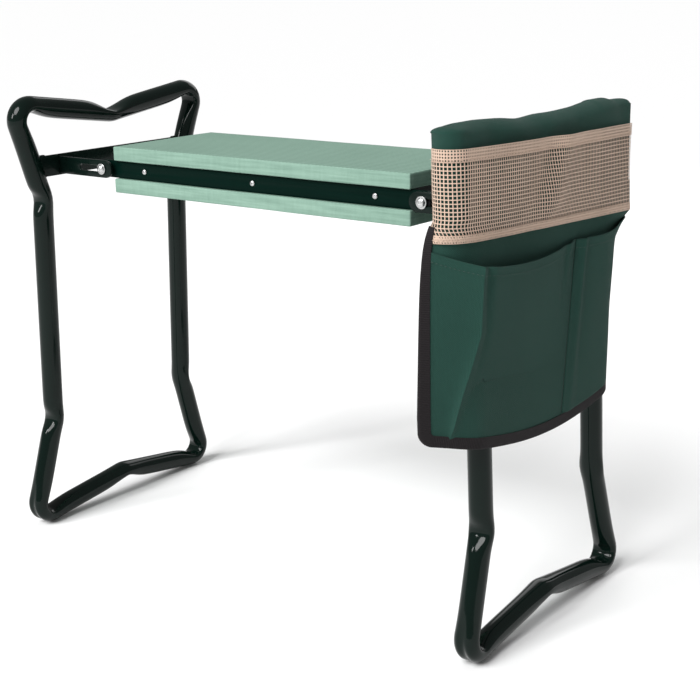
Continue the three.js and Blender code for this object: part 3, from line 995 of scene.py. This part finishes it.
# %% Pocket shapes
POCKET_SEAM = 9.0
DIVIDER_TOP = 218.0
DIVIDER_LEAN = 0.18
MOUTH_NEAR = -24.0
MOUTH_FAR = -44.0
MOUTH_SAG = 12.0
FOLD_TOP = 47.0
FOLD_KNEE = -95.0
FOLD_LEAN = 0.24
FOLD_LIFT = (5.5, 11.5)
HEM_BAND = 9.0
HEM_RAISE = 0.55
POCKET_STAND = 1.2
POCKET_CLEAR = 9.5
FOLD_SHARE = 26 / 104
POCKET_FOOT = -200.0


def divider_at(height):
    return DIVIDER_TOP + (height - MOUTH_FAR) * DIVIDER_LEAN


def hem_raise(height, mouth):
    return HEM_RAISE * smooth_share((height - mouth + HEM_BAND) / 1.2)


def fold_at(height):
    return FOLD_TOP - FOLD_LEAN * max(0.0, FOLD_KNEE - height)


def fold_lift(up):
    """How far the fold stands off the flap; it is caught flat by the tape at the hem."""
    return POCKET_STAND + (FOLD_LIFT[0] - POCKET_STAND + FOLD_LIFT[1] * up) * smooth_share(up * 9)


def near_wall(share, height, up):
    """From the near seam to the fold: taut at the mouth, hugging the flap lower down."""
    full = fold_lift(up)
    across = POCKET_SEAM + share * (fold_at(height) - POCKET_SEAM)
    seam = on_cloth(POCKET_SEAM, height, POCKET_STAND)
    taut = seam.lerp(on_cloth(fold_at(height), height, full), share)
    hugging = on_cloth(across, height, POCKET_STAND + (full - POCKET_STAND) * share**7)
    return across, hugging.lerp(taut, up**0.6)


def front_wall(share, height, up):
    """From the fold to the divider: nearly flat, facing away from the near side."""
    full = fold_lift(up)
    fold, divider = fold_at(height), divider_at(height)
    across = fold + share * (divider - fold)
    ridge = on_cloth(fold, height, full)
    taut = ridge.lerp(on_cloth(divider, height, POCKET_STAND), share)
    taut.x += 3.5 * math.sin(math.pi * share) * up
    taut.x -= 4.0 * up**2 * math.exp(-(((share - 0.06) / 0.03) ** 2))
    tuck_at = (share - 0.9) / 0.05
    taut.x += max(2.8 * math.sin(tuck_at * 2.2) * math.exp(-(tuck_at**2)) * up**5, -0.8)
    lift = POCKET_STAND + (full - POCKET_STAND) * math.exp(-share / 0.035)
    resting = on_cloth(across, height, lift)
    return across, taut if taut.x > resting.x else resting


def main_pocket_place(u, v):
    share = u
    mouth = MOUTH_NEAR + (MOUTH_FAR - MOUTH_NEAR) * share - MOUTH_SAG * 4 * share * (1 - share)
    guess = POCKET_SEAM + share * (divider_at(POCKET_FOOT) - POCKET_SEAM)
    low = hem_height(guess) + POCKET_CLEAR
    height = low + (mouth - low) * v
    if u < FOLD_SHARE:
        across, spot = near_wall(u / FOLD_SHARE, height, v)
    else:
        across, spot = front_wall((u - FOLD_SHARE) / (1 - FOLD_SHARE), height, v)
    ripple = 1.3 * noise.noise(Vector((across / 45, height / 60, 2.3))) * math.sin(math.pi * share)
    outwards = on_cloth(across, height, 1.0) - on_cloth(across, height, 0.0)
    away = max(ripple * (0.3 + 0.7 * v), 0.0) + hem_raise(height, mouth)
    return (across, height), spot + outwards * away


def side_pocket_place(u, v):
    mouth = MOUTH_FAR + 5 * u - 4 * math.sin(math.pi * u)
    far_edge = CLOTH_WIDTH - POCKET_SEAM
    guess = divider_at(POCKET_FOOT) + u * (far_edge - divider_at(POCKET_FOOT))
    low = hem_height(guess) + POCKET_CLEAR
    height = low + (mouth - low) * v
    start = divider_at(height) + 1.5
    across = start + u * (far_edge - start)
    pleat = 5.0 * math.exp(-(((u - 0.09) / 0.05) ** 2)) * (0.25 + 0.75 * v)
    belly = 6.5 * math.sin(math.pi * u) ** 1.2 * (0.2 + 0.8 * v)
    ripple = noise.noise(Vector((across / 40, height / 50, 6.1))) * 1.5 * math.sin(math.pi * u)
    lift = POCKET_STAND + pleat + belly + ripple
    return (across, height), on_cloth(across, height, max(lift, 1.0) + hem_raise(height, mouth))


# %% Sewing the pockets on
cloth_piece("pouch_main_pocket", "main_pocket", (104, 84), main_pocket_place, 50)
cloth_piece("pouch_side_pocket", "side_pocket", (56, 84), side_pocket_place, 50)

# %% [markdown]
# ## The net pocket
# The upper pocket is an open net. Painting holes with transparency would look thin from the side, so
# the net is real: each cell of a fine grid is inset, its middle is deleted, and what is left is given
# a thickness. The hem is the same net doubled, so its holes are smaller.

# %% Net
NET_PITCH = 3.3
NET_NEAR = 2.0
NET_FAR = 15.0
NET_STRAND = 0.45
NET_HEM_PITCH = 2.4
NET_HEM_STRAND = 0.62
NET_HEM = 10.0
NET_FOOT = 6.5
NET_CUT = 78.0
NET_HEIGHT = 74.5
NET_HEM_RAISE = 0.5
NET_FOOT_RAISE = 0.6
NET_THICKNESS = 0.35 * MM


def net_lift(share, height):
    """The net stands off most a little beyond its middle, with loose slanting folds."""
    bulge = 8.0 * math.sin(math.pi * min(1.0, share**0.9)) ** 1.3
    fold_at = (share - 0.52 - 0.0016 * height) / 0.045
    fold = 2.6 * math.exp(-(fold_at**2)) - 1.8 * math.exp(-((fold_at + 1.9) ** 2))
    wave = noise.noise(Vector((share * 7, height / 45, 3.3))) * 2.6
    low = smooth_share((height + 32) / 35)
    return 1.4 + low * (bulge + (fold + wave) * math.sin(math.pi * share))


def net_span(share):
    return -17.5 - 15 * share, 59.5 - 8.5 * share


def net_across(share, height):
    near = NET_NEAR + 9 * smooth_share((-height - 2) / 18)
    return near + share * (CLOTH_WIDTH - NET_FAR - near)


def net_place(low_share, high_share):
    """The part of the net between two shares of its height."""

    def place(u, v):
        low, high = net_span(u)
        up = low_share + (high_share - low_share) * v
        height = low + (high - low) * up
        across = net_across(u, height)
        flat = (u * (CLOTH_WIDTH - NET_NEAR - NET_FAR), up * NET_CUT)
        return flat, on_cloth(across, height, net_lift(u, height))

    return place


def make_net(name, node, low, high, pitch, strand, raise_by=0.0):
    columns = round(CLOTH_WIDTH / pitch)
    rows = round(NET_HEIGHT * (high - low) / pitch)
    flat_place = net_place(low, high)

    def place(u, v):
        flat, spot = flat_place(u, v)
        return flat, spot + Vector((raise_by, 0, 0))

    bm, flat, area = panel(columns, rows, place)
    cells = bm.faces[:]
    bmesh.ops.inset_individual(bm, faces=cells, thickness=strand * MM, use_even_offset=True)
    bmesh.ops.delete(bm, geom=cells, context="FACES")
    net = add_piece(name, bm, NET, "right_legs", [node] if node else [], 80)
    thicken(net, NET_THICKNESS)
    return net, flat, area


hem_share = 1 - NET_HEM / NET_HEIGHT
foot_share = NET_FOOT / NET_HEIGHT
net, net_flat, net_area = make_net("pouch_net", "mesh_pocket", 0, hem_share, NET_PITCH, NET_STRAND)
net_hem, _, _ = make_net(
    "pouch_net_hem", "mesh_pocket_hem", hem_share, 1, NET_HEM_PITCH, NET_HEM_STRAND, NET_HEM_RAISE
)
net_foot, _, _ = make_net(
    "pouch_net_foot", None, 0, foot_share, NET_HEM_PITCH, NET_HEM_STRAND, NET_FOOT_RAISE
)
hole = (1 - 2 * NET_STRAND / NET_PITCH) ** 2
cut_sheet(net, net_flat, net_area * (1 - hole))

# %% [markdown]
# ## The binding
# A ribbed tape is folded over the raw edge of the flap, down one end, along the hem and up the other.
# It follows the cloth's own surface, so a grid of tape is wrapped round the edge: half of its width
# outside the cloth and half behind it.

# %% Tape
TAPE_WIDTH = 10.5
TAPE_STEP = 2.0
TAPE_STAND = 2.1
TAPE_FROM = -4.0
TAPE_OVERHANG = 0.9
TAPE_THICKNESS = 0.5 * MM


def edge_line():
    """(across, height) along the bound edge, from the hood round the hem to the hood."""
    corner = hem_height(0.0)
    steps = int((TAPE_FROM - corner) / TAPE_STEP)
    down = [(0.0, TAPE_FROM + (corner - TAPE_FROM) * i / steps) for i in range(steps)]
    count = int(CLOTH_WIDTH / TAPE_STEP * 1.4)
    shares = [(1 - math.cos(math.pi * i / count)) / 2 for i in range(count + 1)]
    hem = [(share * CLOTH_WIDTH, hem_height(share * CLOTH_WIDTH)) for share in shares]
    corner = hem_height(CLOTH_WIDTH)
    up = [(CLOTH_WIDTH, corner + (TAPE_FROM - corner) * (i + 1) / steps) for i in range(steps)]
    return down + hem + up


def bind_edge():
    line = edge_line()
    count = len(line) - 1
    travelled = [0.0]
    for one, two in zip(line, line[1:]):
        travelled.append(travelled[-1] + math.dist(one, two))

    def place(u, v):
        i = round(u * count)
        before, after = line[max(i - 2, 0)], line[min(i + 2, count)]
        along = Vector((after[0] - before[0], after[1] - before[1])).normalized()
        inwards = Vector((-along.y, along.x))
        fold = (v - 0.5) * 2
        reach = TAPE_WIDTH * smooth_share(abs(fold)) ** 0.8 - TAPE_OVERHANG
        side = math.copysign(min(1.0, abs(fold) * 7) ** 0.6, fold) if fold else 0.0
        spot = Vector(line[i]) + inwards * reach
        across = min(max(spot.x, 0.6), CLOTH_WIDTH - 0.6)
        beyond = spot.x - across
        base = on_cloth(across, spot.y, side * TAPE_STAND)
        if beyond:
            edge = plan_place(across, spot.y)
            further = plan_place(across + math.copysign(1, -beyond), spot.y)
            base += Vector((*(edge - further), 0)) * abs(beyond)
        return (travelled[i], v * TAPE_WIDTH * 2), base

    bm, flat, area = panel(count, 22, place)
    bmesh.ops.recalc_face_normals(bm, faces=bm.faces)
    tape = add_piece("pouch_edge_tape", bm, TAPE, "right_legs", ["pouch_binding"], 60)
    thicken(tape, TAPE_THICKNESS)
    cut_sheet(tape, flat, area)


bind_edge()

# %% [markdown]
# ## Stitching
# The seams are lockstitched. Each stitch is a tiny stretched ball of thread sunk halfway in the cloth,
# made once per stitch from a shape of twenty faces.

# %% Stitches
STITCH = 2.6
STITCH_GAP = 1.3
THREAD_RADIUS = 0.32
THREAD_SUNK = 0.55
POCKET_HEIGHT = 150.0
THREAD_FINISH = dull_plastic("sewing_thread", [0.03, 0.075, 0.058])


def sew(name, routes, finish):
    """routes: lists of places in the loop's own frame, in millimetres."""
    bm = bmesh.new()
    for route in routes:
        left = 0.0
        for one, two in zip(route, route[1:]):
            span = (two - one).length
            at = left
            heading = (two - one).normalized()
            while at < span:
                turn = heading.to_track_quat("X", "Z").to_matrix().to_4x4()
                spot = Matrix.Translation((one + heading * at) * MM)
                shape = Matrix.Diagonal((STITCH / 2 * MM, THREAD_RADIUS * MM, THREAD_RADIUS * MM, 1))
                bmesh.ops.create_icosphere(bm, subdivisions=1, radius=1, matrix=HANG @ spot @ turn @ shape)
                at += STITCH + STITCH_GAP
            left = at - span
    add_piece(name, bm, finish, "right_legs", (), 80)


def pocket_row(place, below, count=90):
    """A row of stitches that follows a pocket's mouth at a distance below it."""
    rows = []
    for i in range(count + 1):
        u = 0.01 + 0.98 * i / count
        flat, spot = place(u, 1 - below / POCKET_HEIGHT)
        nudge = on_cloth(flat[0], flat[1], 1.0) - on_cloth(flat[0], flat[1], 0.0)
        rows.append(spot + nudge * THREAD_SUNK)
    return rows


def seam_down(across_at, top, lift, count=60):
    low = hem_height(across_at(top)) + 9
    heights = [low + (top - low) * i / count for i in range(count + 1)]
    return [on_cloth(across_at(z), z, lift) for z in heights]


def net_row(share_up, lift, count=120):
    rows = []
    for i in range(count + 1):
        u = 0.005 + 0.99 * i / count
        low, high = net_span(u)
        height = low + (high - low) * share_up
        rows.append(on_cloth(net_across(u, height), height, net_lift(u, height) + lift))
    return rows


sew(
    "pocket_stitching",
    [
        pocket_row(main_pocket_place, HEM_BAND - 1.5),
        pocket_row(side_pocket_place, HEM_BAND - 1.5),
        seam_down(lambda z: divider_at(z) + 0.8, MOUTH_FAR - 1, 1.5),
    ],
    THREAD_FINISH,
)
sew("net_stitching", [net_row(0.04, 0.9), net_row(0.885, 0.9)], NET)
print("pouch sewn")

# %% [markdown]
# ## Floor and light
# A plain pale floor and one broad key light from the front, even over the whole floor so that it
# stays white to the horizon. A small lamp at the left and one behind draw the gleams on the enamel.

# %% Stage
FLOOR_REACH = 80.0
FLOOR_GAP = 0.0005
LAMP_AIM_DROP = 0.12
WORLD_LIGHT = 0.32
KEY_STRENGTH = 3.55
KEY_SPREAD = math.radians(34)


def make_floor():
    bm = bmesh.new()
    bmesh.ops.create_grid(bm, x_segments=1, y_segments=1, size=FLOOR_REACH)
    bmesh.ops.translate(bm, vec=(0, 0, cad_box[0][2] - FLOOR_GAP), verts=bm.verts)
    mesh = bpy.data.meshes.new("floor")
    bm.to_mesh(mesh)
    bm.free()
    floor = in_scene("floor", mesh)
    paper = Finish("pale_floor", Base_Color=(0.93, 0.93, 0.93, 1), Roughness=0.9)
    floor.data.materials.append(paper.material)


def soft_lamp(name, place, size, power):
    light = bpy.data.lights.new(name, "AREA")
    light.shape = "RECTANGLE"
    light.size, light.size_y = size
    light.energy = power
    lamp = in_scene(name, light)
    target = BOARD - Vector((0, 0, LAMP_AIM_DROP))
    place = target + Vector(place)
    aim = (target - place).to_track_quat("-Z", "Y").to_matrix().to_4x4()
    lamp.matrix_world = Matrix.Translation(place) @ aim


def key_sun(direction):
    light = bpy.data.lights.new("key_light", "SUN")
    light.energy = KEY_STRENGTH
    light.angle = KEY_SPREAD
    sun = in_scene("key_light", light)
    sun.matrix_world = Vector(direction).to_track_quat("Z", "Y").to_matrix().to_4x4()


make_floor()
key_sun((-0.05, -0.9, 0.88))
soft_lamp("gleam_lamp", (-1.0, -1.7, 0.8), (0.3, 0.5), 9)
soft_lamp("rim_lamp", (-0.6, 2.3, 1.2), (2.4, 1.2), 14)
world = bpy.data.worlds.new("studio")
world.use_nodes = True
world.node_tree.nodes["Background"].inputs["Color"].default_value = (1, 1, 1, 1)
world.node_tree.nodes["Background"].inputs["Strength"].default_value = WORLD_LIGHT
bpy.context.scene.world = world
bpy.context.scene.view_settings.view_transform = "Standard"
